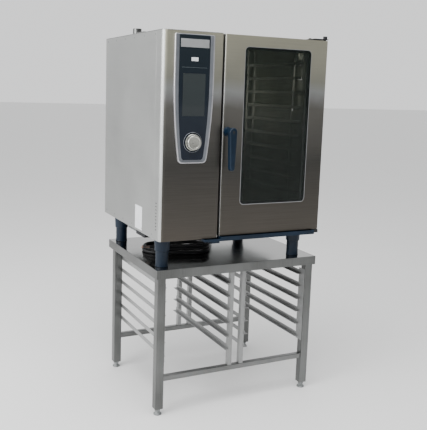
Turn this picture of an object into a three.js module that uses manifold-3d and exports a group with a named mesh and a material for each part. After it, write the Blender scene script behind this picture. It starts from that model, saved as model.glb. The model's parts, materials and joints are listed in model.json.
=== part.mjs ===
// A table-top combi steamer oven on its open rack stand, in millimetres, +Z up.
// The origin is on the floor, under the middle of the whole object. The front faces -Y.
import * as THREE from "three";
import { mergeVertices } from "three/addons/utils/BufferGeometryUtils.js";
import Module from "manifold-3d";

const wasm = await Module();
wasm.setup();

// ---- Driving dimensions -------------------------------------------------------------------
const SHEET = 2; // folded stainless sheet
const GAP = 0.3; // clearance between pieces that touch
const ROUND = 20; // sides of a round piece

// Oven frame: x from the left side, y from the front face to the back, z from the body's bottom.
const OVEN = { width: 847, depth: 776, height: 920 };
const OVEN_FOOT = { height: 125, top: 36, neck: 33, sleeve: 29, step: 50 };
const FOOT_AT = { x: [40, 742], y: [60, 612] };
const COLUMN = { width: 285, corner: 25, wrap: 74 };
const REAR_INSET = 2; // the rear panel lies this far inside the side panels' back edges
const DOOR = { left: 297, bottom: 9, top: 916.7, depth: 34, skin: 2.5, edge: 8 };
const WINDOW = { x: [398, 755], z: [150, 868], corner: 20 };
const HINGE = { x: 835, y: 12, pin: 5 };
const HANDLE = { x: 320, z: 488, low: 328, top: 20, tip: 13, standoff: 42, reach: 66 };
const FRAME_Y = [50, 54];
const MOUTH = { x: [378, 776], z: [128, 890], corner: 15 };
const LINER = { x: [300, 792], y: [54.3, 640], z: [112, 905] };
const FAN = { y: 347, z: 509, wheel: 150, eye: 95, shaft: 10 };
const RACK = { levels: 10, pitch: 70, first: 172, uprights: [160, 540], rails: [90, 600] };
const CONTROLS = { x: 146, top: 905, bottom: 348, proud: 10, glass: 7 };
const DIAL = { z: 441, radius: 36.5, front: 33, shaft: 5 };
const SCREEN = { half: 54, z: [555, 738] };
const FLAP = { half: 16, z: [791, 807] };

// Stand frame: x from its left edge, y from its front edge, z from the floor.
const STAND = { width: 847, depth: 675, height: 690, skirt: 42 };
const LEG = { side: 40, inset: 9, rearInset: 37, clear: 30 };
const CROSS = { side: 25, low: 160 };
const RAILS = { levels: 6, pitch: 65, low: 268, flange: 20, front: 12, behindLeg: 47, back: 635 };
const STRIP = { before: 15, behind: 33 }; // how far a ladder's strip reaches from its leg's middle
const POST = { width: 20, depth: 25, gap: 42 };

// How the two frames lie: the stand reaches further left and forward than the oven.
const STAND_LEFT = 12;
const STAND_FRONT = 12;
const TOTAL = { width: OVEN.width + STAND_LEFT, front: HANDLE.reach, back: OVEN.depth };

// Supply cable: diameter, and the ring it is wound in on the stand's top.
const CABLE = { radius: 8, exit: [150.3, 520, -24], join: 352 };
const COIL = { x: 225, y: 318, turn: -14, half: 85, radius: 88, height: 50 };

// ---- Solids -------------------------------------------------------------------------------
function solid(geometry) {
  const plain = geometry.index ? geometry.toNonIndexed() : geometry.clone();
  plain.deleteAttribute("normal");
  plain.deleteAttribute("uv");
  const merged = mergeVertices(plain, 1e-3);
  const vertProperties = new Float32Array(merged.attributes.position.array);
  const triVerts = new Uint32Array(merged.index.array);
  return new wasm.Manifold(new wasm.Mesh({ numProp: 3, vertProperties, triVerts }));
}

function geometryOf(body) {
  const { vertProperties, triVerts } = body.getMesh();
  const geometry = new THREE.BufferGeometry();
  geometry.setAttribute("position", new THREE.BufferAttribute(new Float32Array(vertProperties), 3));
  geometry.setIndex(new THREE.BufferAttribute(new Uint32Array(triVerts), 1));
  geometry.computeVertexNormals();
  return geometry;
}

const join = (first, ...others) => others.reduce((all, next) => all.add(next), first);
const cut = (first, ...others) => others.reduce((all, next) => all.subtract(next), first);

function box([x0, x1], [y0, y1], [z0, z1]) {
  const geometry = new THREE.BoxGeometry(x1 - x0, y1 - y0, z1 - z0);
  return solid(geometry.translate((x0 + x1) / 2, (y0 + y1) / 2, (z0 + z1) / 2));
}

// A cylinder along one axis, from one coordinate to another, at two others given in X, Y, Z order.
function rod(axis, [from, to], [a, b], radius, sides = ROUND) {
  const geometry = new THREE.CylinderGeometry(radius, radius, to - from, sides);
  const middle = (from + to) / 2;
  if (axis === "x") geometry.rotateZ(-Math.PI / 2).translate(middle, a, b);
  if (axis === "y") geometry.translate(a, middle, b);
  if (axis === "z") geometry.rotateX(Math.PI / 2).translate(a, b, middle);
  return solid(geometry);
}

// A body of revolution about an upright axis: profile points are [radius, z], closed on the axis.
function turned([x, y], profile, sides = ROUND) {
  const points = profile.map(([r, z]) => new THREE.Vector2(r, z));
  return solid(new THREE.LatheGeometry(points, sides).rotateX(Math.PI / 2).translate(x, y, 0));
}

// A shape drawn in plan, raised from z0 to z1.
function raised(shape, [z0, z1], curveSegments = 5) {
  const depth = z1 - z0;
  const geometry = new THREE.ExtrudeGeometry(shape, { depth, bevelEnabled: false, curveSegments });
  return solid(geometry.translate(0, 0, z0));
}

// A shape drawn in x and z, given its thickness from y0 to y1.
function upright(shape, [y0, y1], curveSegments = 5) {
  const depth = y1 - y0;
  const geometry = new THREE.ExtrudeGeometry(shape, { depth, bevelEnabled: false, curveSegments });
  return solid(geometry.rotateX(Math.PI / 2).translate(0, y1, 0));
}

function polygon(...points) {
  return new THREE.Shape(points.map(([a, b]) => new THREE.Vector2(a, b)));
}

function roundedRectangle([x0, x1], [z0, z1], r) {
  const shape = new THREE.Shape();
  shape.moveTo(x0 + r, z0);
  shape.lineTo(x1 - r, z0).absarc(x1 - r, z0 + r, r, -Math.PI / 2, 0, false);
  shape.lineTo(x1, z1 - r).absarc(x1 - r, z1 - r, r, 0, Math.PI / 2, false);
  shape.lineTo(x0 + r, z1).absarc(x0 + r, z1 - r, r, Math.PI / 2, Math.PI, false);
  shape.lineTo(x0, z0 + r).absarc(x0 + r, z0 + r, r, Math.PI, 1.5 * Math.PI, false);
  return shape;
}

const grown = ([a, b], by) => [a - by, b + by];

// A square tube, open at both ends, along x or z.
function tube(axis, x, y, z, wall = SHEET) {
  const bore = axis === "x" ? [grown(x, 1), grown(y, -wall), grown(z, -wall)]
    : [grown(x, -wall), grown(y, -wall), grown(z, 1)];
  return cut(box(x, y, z), box(...bore));
}

// ---- Finishes -----------------------------------------------------------------------------
function finish(color, roughness, metalness, extra = {}) {
  return () => new THREE.MeshStandardMaterial({ color, roughness, metalness, ...extra });
}
const brushed = finish(0x9a968c, 0.35, 1);
const satin = finish(0xaeafac, 0.45, 0.9);
const polished = finish(0xb4b6b4, 0.15, 1);
const galvanised = finish(0x8d9194, 0.6, 0.8);
const aluminium = finish(0xc8c8be, 0.3, 1);
const silver = finish(0xc8c8cd, 0.35, 0.6);
const bluePlastic = finish(0x2c4666, 0.45, 0);
const blackPlastic = finish(0x1b1c1f, 0.6, 0);
const rubber = finish(0x141416, 0.8, 0);
const darkGlass = finish(0x23303a, 0.08, 0, { transparent: true, opacity: 0.5 });
const panelGlass = finish(0x1c2636, 0.1, 0);
const screen = finish(0x3a4246, 0.2, 0);
const copper = finish(0x8a4a2c, 0.4, 0.8);

const oven = new THREE.Group();
const stand = new THREE.Group();

function add(group, name, body, material) {
  const mesh = new THREE.Mesh(geometryOf(body), material());
  mesh.name = name;
  group.add(mesh);
}

// ---- Oven casing --------------------------------------------------------------------------
function casing() {
  const { width: w, depth: d, height: h } = OVEN;
  const { width: c, corner: r, wrap } = COLUMN;
  const lid = h - 3;
  const inside = SHEET + GAP;
  const behindFrame = FRAME_Y[1] + GAP;

  const pan = polygon([27, inside], [c - inside, inside], [c - inside, behindFrame],
    [w - inside, behindFrame], [w - inside, d - inside], [inside, d - inside], [inside, 27]);
  add(oven, "floor_pan", raised(pan, [0, 3]), galvanised);

  add(oven, "left_side_panel", box([0, SHEET], [wrap + GAP, d], [0, lid]), satin);
  add(oven, "right_side_panel", box([w - SHEET, w], [FRAME_Y[0], d], [0, lid]), satin);
  const rear = [d - REAR_INSET - SHEET, d - REAR_INSET];
  add(oven, "rear_panel", box([inside, w - inside], rear, [3 + GAP, lid]), satin);

  const front = new THREE.Shape();
  front.moveTo(c, 0);
  front.lineTo(c, FRAME_Y[0] - GAP).lineTo(c - SHEET, FRAME_Y[0] - GAP).lineTo(c - SHEET, SHEET);
  front.lineTo(r, SHEET).absarc(r, r, r - SHEET, -Math.PI / 2, -Math.PI, true);
  front.lineTo(SHEET, wrap).lineTo(0, wrap).lineTo(0, r);
  front.absarc(r, r, r, Math.PI, 1.5 * Math.PI, false).lineTo(c, 0);
  const dialHole = rod("y", [-5, 10], [CONTROLS.x, DIAL.z], DIAL.shaft + 2);
  add(oven, "control_column", cut(raised(front, [0, lid]), dialHole), brushed);

  const roof = new THREE.Shape();
  roof.moveTo(r, 0).lineTo(c, 0).lineTo(c, 43.5).lineTo(w, 43.5).lineTo(w, d).lineTo(0, d);
  roof.lineTo(0, r).absarc(r, r, r, Math.PI, 1.5 * Math.PI, false);
  add(oven, "top_cover", raised(roof, [lid + GAP, h]), satin);

  const mouth = upright(roundedRectangle(MOUTH.x, MOUTH.z, MOUTH.corner), grown(FRAME_Y, 1));
  const plate = box([c + GAP - SHEET, w - inside], FRAME_Y, [3 + GAP, lid]);
  add(oven, "front_frame", cut(plate, mouth), brushed);
}

// The vent on the roof: a flat cover, a low strip behind it and an upright stub.
function roofVent() {
  const base = OVEN.height + GAP;
  const cover = box([62, 150], [400, 505], [base, base + 18]);
  const strip = box([86, 126], [500, 622], [base, base + 4]);
  const stub = rod("z", [base, base + 46], [106, 600], 22);
  const bore = rod("z", [base + 6, base + 50], [106, 600], 19);
  add(oven, "roof_vent", cut(join(cover, strip, stub), bore), polished);
}

// ---- Cooking chamber ----------------------------------------------------------------------
function chamber() {
  const hollow = box(grown(LINER.x, -SHEET), [0, LINER.y[1] - SHEET], grown(LINER.z, -SHEET));
  const shaftHole = rod("x", [LINER.x[0] - 5, LINER.x[0] + 5], [FAN.y, FAN.z], FAN.shaft + 4);
  add(oven, "cavity_liner", cut(box(LINER.x, LINER.y, LINER.z), hollow, shaftHole), polished);

  const baffle = box([372, 374], [62, 632], [122, 895]);
  const eye = rod("x", [370, 376], [FAN.y, FAN.z], 105, 32);
  add(oven, "air_baffle", cut(baffle, eye), polished);

  add(oven, "cavity_lamp", rod("x", [776.5, 789.7], [125, 848], 24), darkGlass);

  const ring = roundedRectangle([345, 808], [100, 913], 24);
  const inner = roundedRectangle([372, 781], [127, 891], 12);
  const seal = [DOOR.depth + 3 + GAP, FRAME_Y[0] - GAP];
  add(oven, "door_seal", cut(upright(ring, seal), upright(inner, grown(seal, 1))), rubber);
}

function fan() {
  const { y, z, wheel, eye, shaft } = FAN;
  const back = rod("x", [318, 321], [y, z], wheel, 24);
  const front = cut(rod("x", [361, 364], [y, z], wheel, 24), rod("x", [360, 365], [y, z], eye, 24));
  const spindle = rod("x", [240, 350], [y, z], shaft, 12);
  const blades = [];
  for (let i = 0; i < 12; i++) {
    const blade = new THREE.BoxGeometry(42, 3, wheel - eye - 6);
    blade.rotateX(0.35).translate(341, 0, (wheel + eye) / 2).rotateX((i * Math.PI) / 6);
    blades.push(solid(blade.translate(0, y, z)));
  }
  add(oven, "fan_wheel", join(back, front, spindle, ...blades), polished);

  const can = rod("x", [120, 285], [y, z], 75, 24);
  const flange = box([281, 285], [y - 95, y + 95], [z - 95, z + 95]);
  const bore = rod("x", [230, 290], [y, z], shaft + 0.5, 12);
  add(oven, "fan_motor", cut(join(can, flange), bore), galvanised);

  const loop = (x) => {
    const profile = [];
    for (let i = 0; i <= 6; i++) {
      const angle = (i * Math.PI) / 3;
      profile.push(new THREE.Vector2(174 + 5 * Math.cos(angle), 5 * Math.sin(angle)));
    }
    return solid(new THREE.LatheGeometry(profile, 24).rotateZ(-Math.PI / 2).translate(x, y, z));
  };
  const tails = [-12, 12].map((dy) => rod("x", [303, 352], [y + dy, z + 173], 4.5, 8));
  add(oven, "heater_coil", join(loop(334), loop(350), ...tails), galvanised);
}

// A hanging rack: two uprights and a folded rail for each level, open towards the chamber.
function rack(name, wall, inward) {
  const across = (from, to) => [wall + inward * from, wall + inward * to].sort((a, b) => a - b);
  const pieces = RACK.uprights.map((y) => box(across(0, 8), [y, y + 12], [138, 878]));
  for (let i = 0; i < RACK.levels; i++) {
    const z = RACK.first + i * RACK.pitch;
    pieces.push(box(across(6, 26), RACK.rails, [z, z + 2.5]));
    pieces.push(box(across(6, 8.5), RACK.rails, [z, z + 16]));
  }
  add(oven, name, join(...pieces), polished);
}

// ---- Behind the control panel ---------------------------------------------------------------
function services() {
  add(oven, "electronics_box", box([22, 108], [95, 520], [560, 885]), galvanised);
  const tank = box([30, 262], [568, 760], [62, 420]);
  const filler = rod("z", [415, 470], [146, 664], 22);
  add(oven, "steam_generator", join(tank, filler), galvanised);

  add(oven, "terminal_box", box([60, 120], [430, 565], [-45, -GAP]), galvanised);
  const duct = polygon([300, -32], [318, -50], [429, -50], [429, -GAP], [300, -GAP]);
  const length = 95;
  const side = new THREE.ExtrudeGeometry(duct, { depth: length, bevelEnabled: false });
  side.rotateX(Math.PI / 2).rotateZ(Math.PI / 2).translate(52, 0, 0);
  add(oven, "air_duct", solid(side), blackPlastic);

  const [gx, gy, gz] = CABLE.exit;
  const nut = rod("x", [120 + GAP, 134], [gy, gz], 15, 6);
  const dome = rod("x", [133, gx - GAP], [gy, gz], 12.5, 16);
  add(oven, "cable_gland", join(nut, dome), blackPlastic);

  const drop = rod("z", [-70, -GAP], [600, 718], 25);
  const outlet = rod("y", [718, 772], [600, -45], 20);
  add(oven, "drain_pipe", join(drop, outlet), galvanised);
}

// ---- Door ---------------------------------------------------------------------------------
function door() {
  const { left, bottom, top, depth, skin, edge } = DOOR;
  const right = OVEN.width;
  const outline = new THREE.Shape();
  outline.moveTo(left + edge, 0).lineTo(right - edge, 0);
  outline.absarc(right - edge, edge, edge, -Math.PI / 2, 0, false).lineTo(right, depth);
  outline.lineTo(left, depth).lineTo(left, edge);
  outline.absarc(left + edge, edge, edge, Math.PI, 1.5 * Math.PI, false);
  const hollow = box([left + skin, right - skin], [skin, depth + 1], [bottom + skin, top - skin]);
  const pane = upright(roundedRectangle(WINDOW.x, WINDOW.z, WINDOW.corner), [-5, 60]);
  const pinHole = rod("z", [0, 930], [HINGE.x, HINGE.y], HINGE.pin + 0.5, 16);
  const spindleHole = rod("y", [-5, 10], [HANDLE.x, HANDLE.z], 9.5);
  const shell = cut(raised(outline, [bottom, top], 4), hollow, pane, pinHole, spindleHole);
  add(oven, "door_shell", shell, brushed);

  const back = box([left + 1, right - 1], [depth + GAP, depth + 3], [bottom + 1, top - 1]);
  add(oven, "door_back_panel", cut(back, pane), satin);

  const fit = (by) => roundedRectangle(grown(WINDOW.x, by), grown(WINDOW.z, by), WINDOW.corner);
  add(oven, "outer_glass", upright(fit(-0.5), [0.8, 5]), darkGlass);
  add(oven, "inner_glass", upright(fit(18), [depth + 3 + GAP, depth + 7]), darkGlass);
}

function handle() {
  const { x, z, low, top, tip, standoff, reach } = HANDLE;
  // The lever's outline is two circles and the lines that touch both of them.
  const lean = Math.asin((top - tip) / (z - low));
  const lever = new THREE.Shape();
  lever.absarc(x, z, top, -lean, Math.PI + lean, false);
  lever.absarc(x, low, tip, Math.PI + lean, 2 * Math.PI - lean, false);
  const grip = upright(lever, [-reach, -standoff], 10);
  const hub = rod("y", [-standoff - 4, -0.6], [x, z], 17);
  const spindle = rod("y", [-4, 26], [x, z], 8, 12);
  const cam = box([x - 13, x + 13], [17, 23], [z - 9, z + 9]);
  add(oven, "handle_lever", join(grip, hub, spindle, cam), bluePlastic);
}

// Brackets with a fixed pin at the door's top and bottom right corners.
function hinges() {
  const { x, y, pin } = HINGE;
  const over = OVEN.height + GAP;
  const plate = box([768, 846], [0, 92], [over, over + 4]);
  const knuckle = rod("z", [over, over + 17], [x, y], 10);
  const topPin = rod("z", [896, over + 1], [x, y], pin, 16);
  const screwBoss = rod("z", [over, over + 9], [782, 60], 7, 8);
  add(oven, "top_hinge_bracket", join(plate, knuckle, topPin, screwBoss), blackPlastic);

  const shelf = box([818, 846], [-2, FRAME_Y[0] - GAP], [-8, 6.5]);
  const lowPin = rod("z", [0, 30], [x, y], pin, 16);
  add(oven, "bottom_hinge_bracket", join(shelf, lowPin), blackPlastic);
}

function dripTray() {
  const y = [-16, 22];
  const wall = 2;
  const long = box([297.5, 815], y, [-12, 8]);
  const short = box([216, 300], y, [-12, -0.5]);
  const outlet = box([250, 296], [-10, 16], [-22, -11]);
  const longHollow = box([297.5 + wall, 815 - wall], grown(y, -wall), [-10, 9]);
  const shortHollow = box([216 + wall, 302], grown(y, -wall), [-10, 0.5]);
  add(oven, "drip_tray", cut(join(long, short, outlet), longHollow, shortHollow), bluePlastic);
}

// ---- Controls -----------------------------------------------------------------------------
// The panel's outline: straight sides that draw in towards a rounded lower end.
function panelOutline(half, lowHalf, top, bottom, corner) {
  const bend = 700;
  const foot = bottom + corner;
  const outline = new THREE.Shape();
  outline.moveTo(CONTROLS.x - half, top).lineTo(CONTROLS.x - half, bend);
  outline.quadraticCurveTo(CONTROLS.x - half, 540, CONTROLS.x - lowHalf, foot);
  outline.quadraticCurveTo(CONTROLS.x - lowHalf + 3, bottom, CONTROLS.x - lowHalf + corner, bottom);
  outline.lineTo(CONTROLS.x + lowHalf - corner, bottom);
  outline.quadraticCurveTo(CONTROLS.x + lowHalf - 3, bottom, CONTROLS.x + lowHalf, foot);
  outline.quadraticCurveTo(CONTROLS.x + half, 540, CONTROLS.x + half, bend);
  outline.lineTo(CONTROLS.x + half, top);
  return outline;
}

function controls() {
  const { x, top, bottom, proud, glass } = CONTROLS;
  const outer = panelOutline(95.5, 71, top, bottom, 22);
  const opening = panelOutline(73.5, 53, top - 4, bottom + 15.5, 14);
  const rim = cut(upright(outer, [-proud, -GAP], 8), upright(opening, [-proud - 1, 1], 8));
  add(oven, "control_bezel", rim, silver);

  const face = upright(panelOutline(73, 52.5, top - 4.5, bottom + 16, 14), [-glass, -GAP], 8);
  const shaftHole = rod("y", [-20, 10], [x, DIAL.z], DIAL.shaft + 2);
  const screenHole = box([x - SCREEN.half, x + SCREEN.half], [-20, 10], SCREEN.z);
  add(oven, "control_glass", cut(face, shaftHole, screenHole), panelGlass);

  const half = SCREEN.half - GAP;
  const display = box([x - half, x + half], [-glass + 0.4, -GAP], grown(SCREEN.z, -GAP));
  add(oven, "display_panel", display, screen);

  const plaque = [-glass - 2, -glass - GAP];
  add(oven, "badge_plate", box([x - 67, x + 67], plaque, [849, 884]), silver);
  add(oven, "usb_flap", box([x - FLAP.half, x + FLAP.half], plaque, FLAP.z), silver);
}

function dial() {
  const { z, radius, front, shaft } = DIAL;
  const stem = rod("y", [-24, 40], [CONTROLS.x, z], shaft, 12);
  const collar = rod("y", [20, 24], [CONTROLS.x, z], 9, 12);
  add(oven, "dial_shaft", join(stem, collar), aluminium);

  const back = 10.4;
  const bore = shaft + 0.4;
  const profile = [[bore, back], [radius, back], [radius, front - 3], [radius - 3, front], [0, front],
    [0, 24.6], [bore, 24.6], [bore, back]];
  const points = profile.map(([r, y]) => new THREE.Vector2(r, y));
  const knob = new THREE.LatheGeometry(points, 32).rotateX(Math.PI).translate(CONTROLS.x, 0, z);
  add(oven, "dial_knob", solid(knob), aluminium);
}

// ---- Feet and stand -----------------------------------------------------------------------
function ovenFoot(name, x, y) {
  const { height, top, neck, sleeve, step } = OVEN_FOOT;
  const low = GAP - height;
  const profile = [[0, low], [sleeve + 1, low], [sleeve + 1, low + 5], [sleeve, low + 8],
    [sleeve, -step - 4], [neck, -step], [top, -GAP], [0, -GAP]];
  add(oven, name, turned([x, y], profile, 24), bluePlastic);
}

function standFrame() {
  const { width: w, depth: d, height: h, skirt } = STAND;
  const { side, inset, rearInset, clear } = LEG;
  const under = h - SHEET - GAP;
  const tray = box([SHEET, w - SHEET], [SHEET, d - SHEET], [h - skirt - 1, h - SHEET]);
  add(stand, "stand_top", cut(box([0, w], [0, d], [h - skirt, h]), tray), polished);

  const legX = { left: [inset, inset + side], right: [w - inset - side, w - inset] };
  const legY = { front: [inset, inset + side], rear: [d - rearInset - side, d - rearInset] };
  for (const [row, y] of Object.entries(legY)) {
    for (const [column, x] of Object.entries(legX)) {
      add(stand, `leg_${row}_${column}`, tube("z", x, y, [clear, under]), brushed);
      const profile = [[0, 0], [19, 0], [19, 5], [11, 12], [11, clear - GAP], [9, clear - GAP],
        [9, clear + 26], [0, clear + 26]];
      const middle = [(x[0] + x[1]) / 2, (y[0] + y[1]) / 2];
      add(stand, `stand_foot_${row}_${column}`, turned(middle, profile, 16), galvanised);
    }
    const between = [legX.left[1] + GAP, legX.right[0] - GAP];
    const mid = (y[0] + y[1]) / 2;
    const reach = [mid - CROSS.side / 2, mid + CROSS.side / 2];
    const rail = tube("x", between, reach, [CROSS.low, CROSS.low + CROSS.side]);
    add(stand, `${row}_cross_rail`, rail, brushed);
  }
  return { legX, legY, under };
}

// Angle rails for one side of a bay: a standing flange in the plane at x, a shelf reaching inward.
function angleRails(x, inward, front = RAILS.front) {
  const across = (reach) => [x, x + inward * reach].sort((a, b) => a - b);
  const y = [front, RAILS.back];
  const pieces = [];
  for (let i = 0; i < RAILS.levels; i++) {
    const z = RAILS.low + i * RAILS.pitch;
    pieces.push(box(across(RAILS.flange), y, [z - SHEET, z]));
    pieces.push(box(across(SHEET), y, [z - SHEET, z + RAILS.flange - SHEET]));
  }
  return pieces;
}

function ladders({ legX, legY, under }) {
  const rows = Object.values(legY).map(([a, b]) => (a + b) / 2);
  const strips = (x) => rows.map((y) => box(x, [y - STRIP.before, y + STRIP.behind],
    [RAILS.low - 14, under - 66]));
  const leftFace = legX.left[1] + GAP;
  const rightFace = legX.right[0] - GAP;
  const outerLeft = [...strips([leftFace, leftFace + SHEET]), ...angleRails(leftFace, 1, RAILS.behindLeg)];
  const outerRight = [...strips([rightFace - SHEET, rightFace]), ...angleRails(rightFace, -1, RAILS.behindLeg)];
  add(stand, "outer_left_ladder", join(...outerLeft), brushed);
  add(stand, "outer_right_ladder", join(...outerRight), brushed);

  const centre = STAND.width / 2;
  const post = (x) => rows.map((y) => tube("z", x, [y - POST.depth / 2, y + POST.depth / 2],
    [CROSS.low + CROSS.side + GAP, under]));
  const a = centre - POST.gap / 2;
  const b = centre + POST.gap / 2;
  const innerLeft = [...post([a - POST.width, a]), ...angleRails(a - POST.width + 1, -1)];
  const innerRight = [...post([b, b + POST.width]), ...angleRails(b + POST.width - 1, 1)];
  add(stand, "inner_left_ladder", join(...innerLeft), brushed);
  add(stand, "inner_right_ladder", join(...innerRight), brushed);
}

// ---- Supply cable, in the oven's frame ----------------------------------------------------
// It leaves the gland to the right, sinks to the stand's top and turns to the front.
function cableRoute() {
  const [x, y, z] = CABLE.exit;
  const lying = CABLE.radius + GAP - OVEN_FOOT.height;
  const sinking = [[x, y, z], [176, y, z], [195, y, -26.5], [212, y, -34.5], [227, y, -47],
    [248, y, -70], [269, y, -94], [284, y, -106.5], [301, y, -114]];
  const turning = [[320, y, lying], [340, 517, lying], [358, 508, lying], [372.5, 493.5, lying],
    [382, 475, lying], [385, 455, lying], [385, 405, lying], [385, CABLE.join + GAP, lying]];
  const points = [...sinking, ...turning].map((p) => new THREE.Vector3(...p));
  return new THREE.CatmullRomCurve3(points, false, "centripetal");
}

function cable() {
  const section = new THREE.Shape().absarc(0, 0, CABLE.radius, 0, 2 * Math.PI, false);
  const options = { steps: 22, curveSegments: 5, extrudePath: cableRoute() };
  add(oven, "supply_cable", solid(new THREE.ExtrudeGeometry(section, options)), rubber);

  const { half, radius, height } = COIL;
  const outline = new THREE.Shape();
  outline.absarc(half, 0, radius, -Math.PI / 2, Math.PI / 2, false);
  outline.absarc(-half, 0, radius, Math.PI / 2, 1.5 * Math.PI, false);
  const low = GAP - OVEN_FOOT.height;
  const hank = raised(outline, [low, low + height], 8);
  const turn = hank.rotate([0, 0, COIL.turn]).translate([COIL.x, COIL.y, 0]);
  add(oven, "supply_cable_coil", turn, rubber);

  const end = new THREE.Vector3(58, 268, -84);
  const cores = [rod("x", [-3, 3], [0, 0], CABLE.radius - 1, 8)];
  for (let i = 0; i < 5; i++) {
    const core = new THREE.CylinderGeometry(2, 2, 40, 6).rotateZ(-Math.PI / 2).translate(-19, 0, 0);
    const spread = i - 2;
    core.rotateZ(0.16 * spread).rotateY(0.1 * Math.abs(spread) - 0.12);
    cores.push(solid(core));
  }
  const bundle = join(...cores).rotate([0, 0, -8]).translate(end.toArray());
  add(oven, "supply_cable_cores", bundle, copper);
}

// ---- Assembly -----------------------------------------------------------------------------
casing();
roofVent();
chamber();
fan();
rack("rack_left", 380, 1);
rack("rack_right", 774, -1);
services();
door();
handle();
hinges();
dripTray();
controls();
dial();
["left", "right"].forEach((column, i) => {
  ovenFoot(`oven_foot_front_${column}`, FOOT_AT.x[i], FOOT_AT.y[0]);
  ovenFoot(`oven_foot_rear_${column}`, FOOT_AT.x[i], FOOT_AT.y[1]);
});
ladders(standFrame());
cable();

const left = STAND_LEFT - TOTAL.width / 2;
const front = -(TOTAL.back - TOTAL.front) / 2;
oven.position.set(left, front, STAND.height + OVEN_FOOT.height);
stand.position.set(left - STAND_LEFT, front - STAND_FRONT, 0);

const combiSteamer = new THREE.Group();
combiSteamer.add(stand, oven);
export default combiSteamer;
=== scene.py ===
"""A table-top combi steamer on its open rack stand: the looks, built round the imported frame."""
import json
import math

import bmesh
import bpy
from mathutils import Matrix, Vector

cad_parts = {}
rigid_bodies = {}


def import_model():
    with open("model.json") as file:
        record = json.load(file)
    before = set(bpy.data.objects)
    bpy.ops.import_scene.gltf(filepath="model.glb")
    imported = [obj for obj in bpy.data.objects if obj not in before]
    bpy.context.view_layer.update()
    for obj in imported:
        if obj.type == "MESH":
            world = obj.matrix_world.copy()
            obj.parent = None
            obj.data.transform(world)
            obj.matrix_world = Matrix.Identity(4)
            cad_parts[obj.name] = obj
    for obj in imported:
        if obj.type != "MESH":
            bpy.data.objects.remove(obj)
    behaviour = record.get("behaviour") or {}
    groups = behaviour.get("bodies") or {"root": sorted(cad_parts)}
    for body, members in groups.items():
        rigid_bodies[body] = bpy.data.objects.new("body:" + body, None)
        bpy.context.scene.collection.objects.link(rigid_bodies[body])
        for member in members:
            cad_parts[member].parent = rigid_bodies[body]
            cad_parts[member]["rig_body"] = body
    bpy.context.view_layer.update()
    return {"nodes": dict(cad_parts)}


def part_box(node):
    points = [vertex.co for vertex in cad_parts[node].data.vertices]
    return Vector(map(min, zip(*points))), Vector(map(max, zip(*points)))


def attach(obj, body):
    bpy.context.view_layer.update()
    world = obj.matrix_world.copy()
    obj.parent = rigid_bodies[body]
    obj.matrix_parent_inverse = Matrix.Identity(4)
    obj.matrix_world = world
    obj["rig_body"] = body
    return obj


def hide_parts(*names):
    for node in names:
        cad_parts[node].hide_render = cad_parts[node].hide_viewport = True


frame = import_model()

# ---- Frames and sizes ---------------------------------------------------------------------
# Pieces are drawn in millimetres in the oven's or the stand's own frame: x from its left side,
# y from its front face to the back, z from the oven body's bottom or from the floor.
MM = 0.001
OVEN = Vector((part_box("left_side_panel")[0].x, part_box("door_shell")[0].y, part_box("left_side_panel")[0].z))
STAND = Vector((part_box("stand_top")[0].x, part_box("stand_top")[0].y, 0))

BODY = {"depth": 776, "height": 920}
PANEL_X = 146
DIAL_Z = 441
GLASS_Y = -7
WINDOW = {"x": (398, 755), "z": (150, 868)}
CABLE = {"diameter": 16, "length": 2.4, "lying": -116.7, "exit": (150.3, 520, -24)}
FAN = (369, 347, 509)
LAMP = (0, 125, 848)
COIL = {"x": 225, "y": 318, "turn": -14, "half": 85, "reaches": (77.5, 73.0, 76.5), "lift": 16.3}


# ---- Shader tools -------------------------------------------------------------------------
class Wire:
    """One number on its way through a material; Python's operators on it add Math nodes."""

    def __init__(self, paint, socket):
        self.paint = paint
        self.socket = socket

    def math(self, operation, *values):
        inputs = dict(enumerate((self, *values)))
        return self.paint.node("ShaderNodeMath", {"operation": operation}, inputs)

    def __add__(self, other):
        return self.math("ADD", other)

    def __mul__(self, other):
        return self.math("MULTIPLY", other)

    def __sub__(self, other):
        return self.math("SUBTRACT", other)

    def __rsub__(self, other):
        return self * -1 + other

    __radd__ = __add__
    __rmul__ = __mul__


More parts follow.
